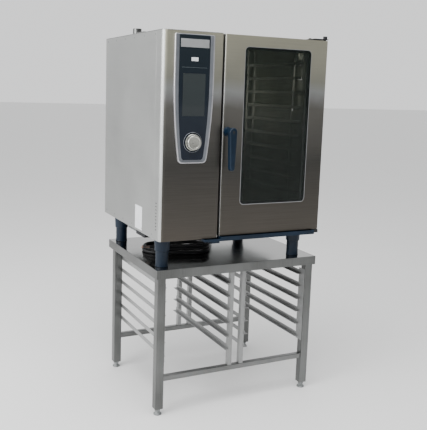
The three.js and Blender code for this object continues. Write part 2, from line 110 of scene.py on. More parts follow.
class Paint:
    """A material with one Principled shader, built node by node."""

    def __init__(self, name, **constants):
        self.material = bpy.data.materials.new(name)
        self.material.use_nodes = True
        self.tree = self.material.node_tree
        self.shader = self.tree.nodes["Principled BSDF"]
        for socket, value in constants.items():
            self.shader.inputs[socket.replace("_", " ")].default_value = value
        self.place = self.node("ShaderNodeTexCoord", output="Object")

    def node(self, kind, settings=None, inputs=None, output=0):
        """Makes a node: its settings first, then the values or wires of its sockets."""
        made = self.tree.nodes.new(kind)
        for key, value in (settings or {}).items():
            if key == "stops":
                self.stops(made.color_ramp, value)
            else:
                setattr(made, key, value)
        for key, value in (inputs or {}).items():
            if isinstance(value, Wire):
                self.tree.links.new(value.socket, made.inputs[key])
            else:
                made.inputs[key].default_value = value
        return Wire(self, made.outputs[output])

    @staticmethod
    def stops(ramp, stops):
        while len(ramp.elements) < len(stops):
            ramp.elements.new(1)
        for element, (place, colour) in zip(ramp.elements, stops):
            element.position = place
            element.color = (*colour, 1)

    def set(self, socket, wire):
        self.tree.links.new(wire.socket, self.shader.inputs[socket])

    def stretched(self, scale):
        return self.node("ShaderNodeMapping", inputs={"Vector": self.place, "Scale": scale})

    def noise(self, scale, detail=3.0, stretch=(1, 1, 1)):
        where = self.stretched(stretch)
        inputs = {"Vector": where, "Scale": scale, "Detail": detail, "Roughness": 0.55}
        return self.node("ShaderNodeTexNoise", {}, inputs, "Fac")

    def remap(self, wire, low, high, start=0.0, end=1.0):
        inputs = {"Value": wire, "From Min": low, "From Max": high, "To Min": start, "To Max": end}
        return self.node("ShaderNodeMapRange", {}, inputs)

    def mix(self, amount, first, second):
        """A colour between two colours, each a wire or three numbers."""
        first, second = (c if isinstance(c, Wire) else (*c, 1) for c in (first, second))
        inputs = {0: amount, 6: first, 7: second}
        return self.node("ShaderNodeMix", {"data_type": "RGBA"}, inputs, 2)

    def bump(self, height, strength, distance):
        inputs = {"Height": height, "Strength": strength, "Distance": distance}
        self.set("Normal", self.node("ShaderNodeBump", {}, inputs))


GRAIN = {"x": (3, 420, 420), "y": (420, 3, 420), "z": (420, 420, 3)}


def brushed(name, colour, dark, along, rough=0.34, bump=0.18, metal=1.0):
    """Sheet steel with a brushed grain along one axis, faint cloudy stains and wiped streaks."""
    paint = Paint(name, Metallic=metal)
    grain = paint.noise(1.0, 4.0, GRAIN[along])
    cloud = paint.noise(3.2, 4.0)
    wiped = paint.noise(1.0, 3.0, tuple(0.02 * s for s in GRAIN[along]))
    tone = paint.remap(cloud * 0.5 + grain * 0.3 + wiped * 0.2, 0.36, 0.66)
    paint.set("Base Color", paint.mix(tone, dark, colour))
    paint.set("Roughness", paint.remap(grain * 0.5 + cloud * 0.5, 0.3, 0.7, rough - 0.06, rough + 0.08))
    paint.bump(grain, bump, 0.0004)
    return paint


def front_steel_painted_reflection():
    """The dark brushed steel of the front, with painted reflection and shade: lighter at the top with a painted
    bright band, darkening towards the bottom, and duller where it is wiped.
    """
    paint = Paint("front_steel_painted_reflection", Metallic=1.0)
    grain = paint.noise(1.0, 4.0, GRAIN["x"])
    cloud = paint.noise(2.6, 4.0)
    height = paint.node("ShaderNodeSeparateXYZ", {}, {"Vector": paint.place}, "Z")
    level = paint.remap(height + cloud * 0.16, 0.85, 1.82)
    # Painted reflection and shade: pale and olive near the top, a light band below it, then dark towards the
    # bottom.
    low = [(0.0, (0.09, 0.079, 0.067)), (0.4, (0.064, 0.062, 0.058)), (0.66, (0.17, 0.164, 0.15))]
    high = [(0.735, (0.42, 0.43, 0.425)), (0.79, (0.4, 0.395, 0.33)), (1.0, (0.66, 0.64, 0.5))]
    ramp = {"stops": low + high}
    tone = paint.node("ShaderNodeValToRGB", ramp, {"Fac": level})
    streak = paint.remap(grain, 0.3, 0.7, 0.0, 0.16)
    paint.set("Base Color", paint.mix(streak, tone, (0.22, 0.21, 0.19)))
    paint.set("Roughness", paint.remap(grain * 0.5 + cloud * 0.5, 0.3, 0.7, 0.27, 0.42))
    paint.bump(grain, 0.16, 0.0004)
    return paint


def mirror_steel():
    """The stand's top sheet: nearly a mirror, with fine scratches and dull smears."""
    paint = Paint("mirror_steel", Metallic=1.0)
    smear = paint.noise(5.0, 5.0)
    scratch = paint.noise(1.0, 2.0, (30, 500, 30))
    paint.set("Base Color", paint.mix(smear, (0.26, 0.26, 0.256), (0.37, 0.373, 0.366)))
    paint.set("Roughness", paint.remap(smear * 0.7 + scratch * 0.3, 0.3, 0.7, 0.07, 0.22))
    paint.bump(scratch, 0.04, 0.0003)
    return paint


def moulded(name, colour, worn, rough=0.45, texture=900.0, bump=0.12):
    """Moulded plastic with a fine eroded texture, rubbed lighter in places."""
    paint = Paint(name, Specular_IOR_Level=0.26)
    fine = paint.noise(texture, 2.0)
    rub = paint.noise(14.0, 4.0)
    paint.set("Base Color", paint.mix(paint.remap(rub, 0.42, 0.7), colour, worn))
    paint.set("Roughness", paint.remap(rub * 0.6 + fine * 0.4, 0.3, 0.7, rough - 0.08, rough + 0.1))
    paint.bump(fine, bump, 0.0003)
    return paint


def cast(name, colour, dark, rough=0.3):
    """Bright cast or turned metal with a soft, slightly uneven face."""
    paint = Paint(name, Metallic=0.9)
    cloud = paint.noise(40.0, 3.0)
    fine = paint.noise(1200.0, 2.0)
    paint.set("Base Color", paint.mix(cloud, dark, colour))
    paint.set("Roughness", paint.remap(fine * 0.5 + cloud * 0.5, 0.3, 0.7, rough - 0.05, rough + 0.08))
    paint.bump(fine, 0.08, 0.0002)
    return paint


def galvanised():
    """Zinc-coated sheet with its crystal pattern."""
    paint = Paint("galvanised_sheet", Metallic=0.85)
    inputs = {"Vector": paint.place, "Scale": 90.0}
    spangle = paint.node("ShaderNodeTexVoronoi", {}, inputs, "Distance")
    cloud = paint.noise(12.0, 4.0)
    tone = paint.remap(spangle * 0.6 + cloud * 0.6, 0.2, 0.8)
    paint.set("Base Color", paint.mix(tone, (0.17, 0.182, 0.182), (0.34, 0.355, 0.355)))
    paint.set("Roughness", paint.remap(tone, 0.0, 1.0, 0.4, 0.62))
    paint.bump(spangle, 0.05, 0.0004)
    return paint


def dark_glass(name, tint, alpha, smear=0.05):
    """Tinted glass with faint wiped smears."""
    paint = Paint(name, IOR=1.5, Specular_IOR_Level=0.3)
    film = paint.noise(7.0, 5.0, (1, 1, 0.35))
    paint.set("Base Color", paint.mix(film, tint, tuple(1.6 * c + 0.004 for c in tint)))
    paint.set("Roughness", paint.remap(film, 0.35, 0.7, 0.03, 0.03 + smear))
    paint.set("Alpha", paint.remap(film, 0.3, 0.75, alpha, min(1.0, alpha + 0.12)))
    return paint


def panel_glass(name, colour, lower):
    """The control panel's back-printed glass, a little deeper in tone towards its foot."""
    paint = Paint(name, Coat_Roughness=0.03, Specular_IOR_Level=0.2)
    film = paint.noise(22.0, 4.0)
    height = paint.node("ShaderNodeSeparateXYZ", {}, {"Vector": paint.place}, "Z")
    level = paint.remap(height + film * 0.03, 1.2, 1.7)
    paint.set("Base Color", paint.mix(level, lower, colour))
    paint.set("Roughness", paint.remap(film, 0.3, 0.7, 0.08, 0.2))
    paint.set("Coat Weight", paint.remap(film, 0.3, 0.7, 0.32, 0.2))
    return paint


def glowing(name, colour, strength):
    """A thin lit strip behind the glass."""
    paint = Paint(name, Emission_Strength=strength)
    drift = paint.noise(60.0, 2.0)
    paint.set("Base Color", paint.mix(drift, colour, tuple(0.7 * c for c in colour)))
    paint.set("Emission Color", paint.mix(drift, colour, tuple(0.6 * c for c in colour)))
    paint.set("Roughness", paint.remap(drift, 0.3, 0.7, 0.3, 0.5))
    return paint


def ground():
    """The pale studio floor."""
    paint = Paint("studio_floor")
    cloud = paint.noise(0.8, 3.0)
    paint.set("Base Color", paint.mix(cloud, (0.86, 0.86, 0.855), (0.89, 0.89, 0.885)))
    paint.set("Roughness", paint.remap(cloud, 0.3, 0.7, 0.55, 0.7))
    return paint


PAINT = {
    "front": front_steel_painted_reflection(),
    "side": brushed("side_steel", (0.46, 0.468, 0.458), (0.39, 0.396, 0.39), "y", 0.42, 0.1),
    "top": brushed("top_steel", (0.42, 0.425, 0.42), (0.33, 0.335, 0.33), "y", 0.36, 0.1),
    "frame": brushed("frame_steel", (0.19, 0.195, 0.193), (0.09, 0.091, 0.088), "z", 0.3),
    "rail": brushed("rail_steel", (0.33, 0.335, 0.335), (0.22, 0.222, 0.22), "y", 0.34, 0.05, 0.6),
    "cross": brushed("cross_steel", (0.225, 0.23, 0.228), (0.11, 0.111, 0.108), "x", 0.28),
    "mirror": mirror_steel(),
    "chamber": brushed("chamber_steel", (0.42, 0.43, 0.37), (0.25, 0.25, 0.2), "z", 0.44, 0.04),
    "rack": brushed("rack_wire_steel", (0.62, 0.62, 0.6), (0.45, 0.45, 0.43), "y", 0.2, 0.05),
    "zinc": galvanised(),
    "dial": cast("turned_aluminium", (0.5, 0.5, 0.455), (0.36, 0.36, 0.33), 0.28),
    "trim": cast("silver_trim", (0.66, 0.66, 0.69), (0.52, 0.52, 0.55), 0.3),
    "bevel": cast("bevel_grey", (0.3, 0.315, 0.345), (0.22, 0.235, 0.265), 0.38),
    "badge": cast("badge_silver", (0.6, 0.61, 0.62), (0.5, 0.51, 0.52), 0.4),
    "blue": moulded("blue_moulding", (0.002, 0.0095, 0.022), (0.0045, 0.016, 0.035), 0.36),
    "foot": moulded("foot_moulding", (0.0025, 0.009, 0.02), (0.006, 0.0165, 0.034), 0.4),
    "black": moulded("black_moulding", (0.012, 0.013, 0.015), (0.03, 0.031, 0.034), 0.5),
    "rubber": moulded("black_rubber", (0.008, 0.008, 0.009), (0.02, 0.02, 0.021), 0.48, 500.0),
    "plate": moulded("blank_plate", (0.72, 0.74, 0.76), (0.8, 0.81, 0.82), 0.4),
    "door_glass": dark_glass("door_glass", (0.005, 0.008, 0.0065), 0.4),
    "inner_glass": dark_glass("inner_pane_glass", (0.007, 0.011, 0.008), 0.16),
    "lamp": dark_glass("lamp_glass", (0.6, 0.62, 0.5), 0.75),
    "panel": panel_glass("panel_glass", (0.011, 0.0165, 0.021), (0.005, 0.009, 0.018)),
    "screen": panel_glass("switched_off_screen", (0.036, 0.044, 0.044), (0.017, 0.021, 0.025)),
    "copper": cast("bare_copper", (0.62, 0.30, 0.17), (0.42, 0.18, 0.10), 0.35),
    "core_brown": moulded("brown_core_sleeve", (0.13, 0.075, 0.055), (0.22, 0.14, 0.11), 0.5),
    "core_dark": moulded("grey_core_sleeve", (0.07, 0.065, 0.065), (0.2, 0.18, 0.18), 0.5),
    "line": glowing("lit_line", (0.16, 0.19, 0.2), 0.05),
}


# ---- Meshes -------------------------------------------------------------------------------
def show(name, mesh, paint, body, stands_for=(), sharp=35):
    """Puts a mesh in row metres on the scene as one piece of the object."""
    mesh.materials.clear()
    mesh.materials.append(PAINT[paint].material)
    mesh.shade_smooth()
    mesh.set_sharp_from_angle(angle=math.radians(sharp))
    piece = bpy.data.objects.new(name, mesh)
    bpy.context.scene.collection.objects.link(piece)
    flatter = piece.modifiers.new("flat_faces_stay_flat", "WEIGHTED_NORMAL")
    flatter.keep_sharp = True
    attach(piece, body)
    if stands_for:
        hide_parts(*stands_for)
    return piece


def repaint(piece, paint, chosen):
    """Gives the faces that pass a test another paint."""
    piece.data.materials.append(PAINT[paint].material)
    for face in piece.data.polygons:
        if chosen(face):
            face.material_index = len(piece.data.materials) - 1


def mesh_of(shape, origin=None):
    """Turns a bmesh into a mesh; one drawn in millimetres is put at its place in row metres."""
    if origin is not None:
        shape.transform(Matrix.Translation(origin) @ Matrix.Scale(MM, 4))
    mesh = bpy.data.meshes.new("shape")
    shape.to_mesh(mesh)
    shape.free()
    return mesh


def joined(*shapes):
    whole = bmesh.new()
    for shape in shapes:
        part = bpy.data.meshes.new("part")
        shape.to_mesh(part)
        shape.free()
        whole.from_mesh(part)
        bpy.data.meshes.remove(part)
    return whole


def lofted(rings, capped=True, looped=False):
    """A skin through rings of points that have the same count."""
    shape = bmesh.new()
    rows = [[shape.verts.new(p) for p in ring] for ring in rings]
    pairs = list(zip(rows, rows[1:] + rows[:1] if looped else rows[1:]))
    for near, far in pairs:
        for i in range(len(near)):
            j = (i + 1) % len(near)
            shape.faces.new((near[i], near[j], far[j], far[i]))
    if capped and not looped:
        shape.faces.new(rows[0][::-1])
        shape.faces.new(rows[-1])
    bmesh.ops.recalc_face_normals(shape, faces=shape.faces)
    return shape


def lathe(profile, centre, axis="z", sides=64):
    """A closed profile of (radius, place along the axis) spun about an axis through the centre."""
    rings = []
    for i in range(sides):
        a = 2 * math.pi * i / sides
        ring = []
        for radius, along in profile:
            u, v = radius * math.cos(a), radius * math.sin(a)
            point = {"x": (along, u, v), "y": (u, along, v), "z": (u, v, along)}[axis]
            ring.append(Vector(point) + Vector(centre))
        rings.append(ring)
    shape = lofted(rings, looped=True)
    bmesh.ops.remove_doubles(shape, verts=shape.verts, dist=1e-4)
    bmesh.ops.recalc_face_normals(shape, faces=shape.faces)
    return shape


def block(x, y, z, ease=1.0, steps=2):
    """A box between pairs of coordinates, with its edges rounded."""
    shape = bmesh.new()
    bmesh.ops.create_cube(shape, size=1)
    size = Vector((x[1] - x[0], y[1] - y[0], z[1] - z[0]))
    middle = Vector((x[0] + x[1], y[0] + y[1], z[0] + z[1])) / 2
    shape.transform(Matrix.Translation(middle) @ Matrix.Diagonal((*size, 1)))
    bmesh.ops.bevel(shape, geom=shape.edges[:], offset=ease, segments=steps, affect="EDGES", profile=0.5)
    return shape


def rounded_square(x, y, radius, steps=4):
    """Points in plan round a rectangle with round corners."""
    points = []
    corners = [(x[1], y[0], -90), (x[1], y[1], 0), (x[0], y[1], 90), (x[0], y[0], 180)]
    for cx, cy, start in corners:
        px = cx - radius if cx == x[1] else cx + radius
        py = cy - radius if cy == y[1] else cy + radius
        for i in range(steps + 1):
            a = math.radians(start + 90 * i / steps)
            points.append((px + radius * math.cos(a), py + radius * math.sin(a)))
    return points


def square_tube(across, up, along, axis="z", radius=3.5, wall=2):
    """An open square tube with rounded corners; its length runs along z, or along x."""
    def ring(inset, place):
        plan = rounded_square([across[0] + inset, across[1] - inset], [up[0] + inset, up[1] - inset],
                              radius - inset * 0.8)
        return [(a, b, place) if axis == "z" else (place, a, b) for a, b in plan]

    low, high = along
    rings = [ring(0.3, low), ring(0, low + 0.3), ring(0, high - 0.3), ring(0.3, high),
             ring(wall, high), ring(wall, low)]
    return lofted(rings, looped=True)


def eased(name, node, paint, width=0.6, steps=2, angle=30):
    """A frame node's own shape, with its sharp edges rounded over."""
    source = frame["nodes"][node]
    shape = bmesh.new()
    shape.from_mesh(source.data)
    bmesh.ops.remove_doubles(shape, verts=shape.verts, dist=2e-6)
    bmesh.ops.dissolve_limit(shape, angle_limit=math.radians(0.5), verts=shape.verts, edges=shape.edges)
    sharp = [e for e in shape.edges if len(e.link_faces) == 2 and e.calc_face_angle(0) > math.radians(angle)]
    bmesh.ops.bevel(shape, geom=sharp, offset=width * MM, segments=steps, affect="EDGES", profile=0.5,
                    clamp_overlap=True)
    return show(name, mesh_of(shape), paint, source["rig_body"], [node])


# ---- Geometry nodes -----------------------------------------------------------------------
class Nodes:
    """A geometry-node tree that is built by name, with its own named inputs."""

    def __init__(self, name, **inputs):
        self.tree = bpy.data.node_groups.new(name, "GeometryNodeTree")
        self.identifiers = {}
        for key, kind in {"Shape": "Geometry", **inputs}.items():
            made = self.tree.interface.new_socket(key, in_out="INPUT", socket_type="NodeSocket" + kind)
            self.identifiers[key] = made.identifier
        self.tree.interface.new_socket("Result", in_out="OUTPUT", socket_type="NodeSocketGeometry")
        self.start = self.tree.nodes.new("NodeGroupInput")

    def node(self, kind, settings=None, inputs=None, output=0):
        made = self.tree.nodes.new(kind)
        for key, value in (settings or {}).items():
            setattr(made, key, value)
        for key, value in (inputs or {}).items():
            if isinstance(value, bpy.types.NodeSocket):
                self.tree.links.new(value, made.inputs[key])
            else:
                made.inputs[key].default_value = value
        return made.outputs[output]

    def given(self, name):
        return self.start.outputs[name]

    def finish(self, geometry):
        """Ends the tree: real geometry, painted with the material that it is given."""
        real = self.node("GeometryNodeRealizeInstances", inputs={"Geometry": geometry})
        inputs = {"Geometry": real, "Material": self.given("Material")}
        painted = self.node("GeometryNodeSetMaterial", inputs=inputs)
        end = self.tree.nodes.new("NodeGroupOutput")
        self.tree.links.new(painted, end.inputs[0])
        return self

    def run(self, data, **values):
        """Runs the tree on a mesh or curve and returns the plain mesh that it makes."""
        holder = bpy.data.objects.new("holder", data)
        bpy.context.scene.collection.objects.link(holder)
        modifier = holder.modifiers.new("tree", "NODES")
        modifier.node_group = self.tree
        for key, value in values.items():
            modifier[self.identifiers[key]] = value
        evaluated = holder.evaluated_get(bpy.context.evaluated_depsgraph_get())
        mesh = bpy.data.meshes.new_from_object(evaluated)
        bpy.data.objects.remove(holder)
        return mesh


def grid_tree():
    """Copies of a shape in columns and rows."""
    g = Nodes("grid_of_copies", Columns="Int", Across="Vector", Rows="Int", Up="Vector", Material="Material")
    geometry = g.given("Shape")
    for count, step in (("Columns", "Across"), ("Rows", "Up")):
        inputs = {"Count": g.given(count), "Offset": g.given(step)}
        line = g.node("GeometryNodeMeshLine", {"mode": "OFFSET"}, inputs)
        inputs = {"Points": line, "Instance": geometry}
        geometry = g.node("GeometryNodeInstanceOnPoints", inputs=inputs)
        geometry = g.node("GeometryNodeRealizeInstances", inputs={"Geometry": geometry})
    return g.finish(geometry)


def ring_tree():
    """Copies of a shape round the z axis, each turned to face outward."""
    g = Nodes("ring_of_copies", Count="Int", Radius="Float", Material="Material")
    inputs = {"Vertices": g.given("Count"), "Radius": g.given("Radius")}
    circle = g.node("GeometryNodeMeshCircle", inputs=inputs)
    outward = g.node("GeometryNodeInputPosition")
    turn = g.node("FunctionNodeAlignRotationToVector", {"axis": "X", "pivot_axis": "Z"}, {"Vector": outward})
    inputs = {"Points": circle, "Instance": g.given("Shape"), "Rotation": turn}
    return g.finish(g.node("GeometryNodeInstanceOnPoints", inputs=inputs))


def wire_tree():
    """A round wire along a curve."""
    g = Nodes("wire_along_curve", Radius="Float", Sides="Int", Material="Material")
    section = g.node("GeometryNodeCurvePrimitiveCircle", inputs={0: g.given("Sides"), 4: g.given("Radius")})
    inputs = {"Curve": g.given("Shape"), "Profile Curve": section, "Fill Caps": True}
    return g.finish(g.node("GeometryNodeCurveToMesh", inputs=inputs))


TREES = {"grid": grid_tree(), "ring": ring_tree(), "wire": wire_tree()}


def copies(unit, paint, columns=1, across=(0, 0, 0), rows=1, up=(0, 0, 0)):
    """A grid of copies of one bmesh drawn in millimetres, as one bmesh."""
    mesh = TREES["grid"].run(mesh_of(unit), Columns=columns, Across=across, Rows=rows, Up=up,
                             Material=PAINT[paint].material)
    shape = bmesh.new()
    shape.from_mesh(mesh)
    return shape


def around(unit, paint, count, radius):
    mesh = TREES["ring"].run(mesh_of(unit), Count=count, Radius=radius, Material=PAINT[paint].material)
    shape = bmesh.new()
    shape.from_mesh(mesh)
    return shape


def wire(points, radius, paint, sides=12):
    """A bent wire through points in millimetres, as a bmesh."""
    curve = bpy.data.curves.new("bend", "CURVE")
    curve.dimensions = "3D"
    spline = curve.splines.new("POLY")
    spline.points.add(len(points) - 1)
    for point, place in zip(spline.points, points):
        point.co = (*place, 1)
    mesh = TREES["wire"].run(curve, Radius=radius, Sides=sides, Material=PAINT[paint].material)
    shape = bmesh.new()
    shape.from_mesh(mesh)
    return shape


def screw_head(radius=4.0, height=1.6):
    """A low domed screw head with a round recess, standing on z = 0."""
    dome = [(0, 0), (radius, 0), (radius, 0.35 * height), (0.8 * radius, 0.8 * height),
            (0.45 * radius, height), (0.3 * radius, 0.55 * height), (0, 0.5 * height)]
    return lathe(dome, (0, 0, 0), sides=12)


def turned(shape, axis, degrees, to=(0, 0, 0)):
    shape.transform(Matrix.Translation(to) @ Matrix.Rotation(math.radians(degrees), 4, axis))
    return shape


def moved(shape, to):
    shape.transform(Matrix.Translation(to))
    return shape


# ---- Camera, light and floor --------------------------------------------------------------
def camera():
    """A standing view from the front left, a little above the oven's middle."""
    azimuth, dip, roll = -0.451, 0.152, 0.030
    back = Vector((math.sin(azimuth) * math.cos(dip), -math.cos(azimuth) * math.cos(dip), math.sin(dip)))
    right = Vector((0, 0, 1)).cross(back).normalized()
    up = back.cross(right)
    across = math.cos(roll) * right + math.sin(roll) * up
    upward = math.cos(roll) * up - math.sin(roll) * right
    data = bpy.data.cameras.new("view")
    data.lens = 56.0
    data.sensor_width = 36
    data.shift_x = 0.036
    data.shift_y = -0.049
    camera_object = bpy.data.objects.new("view", data)
    bpy.context.scene.collection.objects.link(camera_object)
    turn = Matrix((across, upward, back)).transposed()
    camera_object.matrix_world = Matrix.Translation((-1.5233, -3.0173, 1.4775)) @ turn.to_4x4()
    bpy.context.scene.camera = camera_object


def softbox(name, place, target, size, power):
    data = bpy.data.lights.new(name, "AREA")
    data.shape = "RECTANGLE"
    data.size, data.size_y = size
    data.energy = power
    light = bpy.data.objects.new(name, data)
    bpy.context.scene.collection.objects.link(light)
    light.location = place
    light.rotation_euler = (Vector(target) - Vector(place)).to_track_quat("-Z", "Y").to_euler()


def sky():
    """A plain pale world whose light comes mostly from the left and above, and least from the front right."""
    world = bpy.data.worlds.new("pale_studio")
    bpy.context.scene.world = world
    world.use_nodes = True
    tree = world.node_tree
    background = tree.nodes["Background"]
    background.inputs["Color"].default_value = (0.97, 0.975, 0.98, 1)
    direction = tree.nodes.new("ShaderNodeTexCoord")
    facing = tree.nodes.new("ShaderNodeVectorMath")
    facing.operation = "DOT_PRODUCT"
    facing.inputs[1].default_value = (0.55, -0.83, -0.08)
    dimming = tree.nodes.new("ShaderNodeMapRange")
    dimming.interpolation_type = "SMOOTHSTEP"
    for socket, value in (("From Min", 0.1), ("From Max", 0.9), ("To Min", 1.15), ("To Max", 0.26)):
        dimming.inputs[socket].default_value = value
    seen = tree.nodes.new("ShaderNodeLightPath")
    strength = tree.nodes.new("ShaderNodeMix")
    strength.inputs["B"].default_value = 1.2
    tree.links.new(direction.outputs["Generated"], facing.inputs[0])
    tree.links.new(facing.outputs["Value"], dimming.inputs["Value"])
    tree.links.new(seen.outputs["Is Camera Ray"], strength.inputs["Factor"])
    tree.links.new(dimming.outputs["Result"], strength.inputs["A"])
    tree.links.new(strength.outputs["Result"], background.inputs["Strength"])


def studio():
    sky()
    softbox("left_softbox", (-4.0, -1.0, 2.6), (0, 0, 1.0), (2.4, 2.4), 150)
    softbox("high_softbox", (-0.5, -1.2, 4.4), (0, 0, 1.0), (3.0, 3.0), 150)
    softbox("corner_strip", (-4.2, 0.6, 1.55), (-0.4, -0.3, 1.5), (1.2, 0.5), 30)
    near_door = OVEN + Vector((600, 120, 640)) * MM
    high_back = OVEN + Vector((560, 640, 880)) * MM
    softbox("chamber_light", near_door, high_back, (0.35, 0.35), 1.8)
    floor = bmesh.new()
    bmesh.ops.create_grid(floor, x_segments=1, y_segments=1, size=60)
    mesh = mesh_of(floor)
    mesh.materials.append(ground().material)
    ground_object = bpy.data.objects.new("floor", mesh)
    bpy.context.scene.collection.objects.link(ground_object)


# ---- Supply cable -------------------------------------------------------------------------
def lead_points():
    """From the gland down to the stand's top, and round towards the front."""
    x, y, z = CABLE["exit"]
    low = CABLE["lying"]
    sinking = [(x, y, z), (176, y, z), (195, y, -26.5), (212, y, -34.5), (227, y, -47), (248, y, -70),
               (269, y, -94), (284, y, -106.5), (301, y, -114)]
    turning = [(320, y, low), (340, 517, low), (358, 508, low), (372.5, 493.5, low), (382, 475, low),
               (385, 455, low), (385, 405, low), (385, 352.3, low), (385, 297.4, low)]
    return [Vector(p) for p in sinking + turning]


def coil_points():
    """Two and a half flat turns, clockwise from above, each laid on the one below at the back."""
    half, reaches, lift = COIL["half"], COIL["reaches"], COIL["lift"]
    turn = Matrix.Rotation(math.radians(COIL["turn"]), 4, "Z")
    centre = Vector((COIL["x"], COIL["y"], CABLE["lying"]))
    points = []

    def lay(x, y, height):
        points.append(turn @ Vector((x, y, height)) + centre)

    for lap, reach in enumerate(reaches):
        height = lap * lift
        for angle in [math.radians(90 - 22.5 * i) for i in range(4 if lap == 0 else 0, 9)]:
            lay(half + reach * math.cos(angle), reach * math.sin(angle), height)
        for share in (0.33, -0.33):
            lay(share * half, -reach, height)
        if lap == len(reaches) - 1:
            lay(-half, -reach, height)
            return points
        for angle in [math.radians(-90 - 22.5 * i) for i in range(9)]:
            lay(-half + reach * math.cos(angle), reach * math.sin(angle), height)
        for share in (0.25, 0.5, 0.75):
            rise = share * share * (3 - 2 * share)
            wide = reach + rise * (reaches[lap + 1] - reach)
            lay(half * (2 * share - 1), wide, height + rise * lift)


def supply_cable():
    """The whole cord: the lead, its coil and the loose end with its five stripped cores."""
    top = CABLE["lying"] + 2 * COIL["lift"]
    end = [Vector(p) for p in ((100, 266, top), (80, 266.5, top), (61.5, 267.5, top))]
    points = lead_points() + coil_points() + end
    curve = bpy.data.curves.new("supply_cord", "CURVE")
    curve.dimensions = "3D"
    curve.bevel_depth = CABLE["diameter"] / 2 * MM
    curve.bevel_resolution = 3
    curve.resolution_u = 6
    curve.use_fill_caps = True
    spline = curve.splines.new("BEZIER")
    spline.bezier_points.add(len(points) - 1)
    for knot, point in zip(spline.bezier_points, points):
        knot.co = OVEN + point * MM
        knot.handle_left_type = "AUTO"
        knot.handle_right_type = "AUTO"
    curve.materials.append(PAINT["rubber"].material)
    cord = bpy.data.objects.new("supply_cord", curve)
    bpy.context.scene.collection.objects.link(cord)
    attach(cord, "root")
    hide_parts("supply_cable", "supply_cable_coil")
    with_it = [cable_boot(), *cable_cores(end[-1])]


def cable_boot():
    """The tapered sleeve that keeps the cable straight where it leaves the gland."""
    x, y, z = CABLE["exit"]
    profile = [(8.2, 0), (12.4, 0), (12.2, 3)]
    for i in range(6):
        radius, along = 11.9 - 0.45 * i, 5 + 6 * i
        profile += [(radius, along), (radius, along + 2.6)]
        profile += [(radius - 1, along + 3.4), (radius - 1, along + 5.4)]
    profile += [(8.9, 41), (8.2, 41)]
    return show("cable_boot", mesh_of(lathe(profile, (x - 1, y, z), "x", 32), OVEN), "rubber", "root")


def cable_cores(start):
    """Five stripped cores, fanned out, with bare copper tips."""
    sleeves, tips = [], []
    for i in range(5):
        lean = (i - 2) * 0.17
        lift = 0.18 - 0.09 * abs(i - 2)
        side, up = 3.6 * math.cos(i * 1.257), 3.6 * math.sin(i * 1.257)
        points = []
        for step in range(7):
            along = 6.0 * step
            bow = along * along / 40
            points.append(start + Vector((2 - along, side + lean * bow + 0.13 * along, up + lift * bow)))
        sleeves.append(wire(points, 1.9, "core_brown" if i % 2 else "core_dark", 10))
        ahead = (points[-1] - points[-2]).normalized()
        tips.append(wire([points[-1] - ahead, points[-1] + 3.6 * ahead], 1.1, "copper", 8))
    brown = joined(sleeves[1], sleeves[3])
    dark = joined(sleeves[0], sleeves[2], sleeves[4])
    made = [show("core_sleeves_brown", mesh_of(brown, OVEN), "core_brown", "root",
                 ["supply_cable_cores"]),
            show("core_sleeves_dark", mesh_of(dark, OVEN), "core_dark", "root"),
            show("core_tips", mesh_of(joined(*tips), OVEN), "copper", "root")]
    return made


# ---- Oven casing --------------------------------------------------------------------------
def casing():
    eased("left_side_skin", "left_side_panel", "side", 0.7)
    eased("right_side_skin", "right_side_panel", "side", 0.7)
    eased("rear_skin", "rear_panel", "side", 0.6)
    column = eased("column_skin", "control_column", "front", 0.7)
    # Faces turned to the left get the lighter side steel and the rest the darker front steel: lit and shaded
    # copies of one steel, chosen by which way a face turns.
    repaint(column, "side", lambda face: face.normal.x < -0.55)
    eased("roof_skin", "top_cover", "top", 0.8)
    eased("mouth_frame", "front_frame", "chamber", 0.8)
    strip = block((286, 295.5), (30, 49), (8, 916), 1.2)
    show("gap_strip", mesh_of(strip, OVEN), "rubber", "root")


def side_details():
    """Screws, black marks of painted shade standing for the service-side vent holes, and the blank rating plate
    on the left side.
    """
    rows = []
    for z in (20, 902):
        screw = turned(screw_head(4.2, 0.8), "Y", -90, (0, 90, z))
        rows.append(copies(screw, "zinc", 6, (0, 130, 0)))
    show("side_screws", mesh_of(joined(*rows), OVEN), "zinc", "root")

    # The vent holes are flat black marks on the skin: painted shade, not openings.
    hole = block((-0.35, 0.4), (38, 50), (46, 50), 0.3, 1)
    holes = copies(hole, "rubber", 1, (0, 0, 0), 9, (0, 0, 15))
    show("side_vent_hole_shade", mesh_of(holes, OVEN), "black", "root")

    plate = block((-0.5, 0.2), (215, 305), (10, 122), 0.4, 1)
    show("rating_plate", mesh_of(plate, OVEN), "plate", "root")


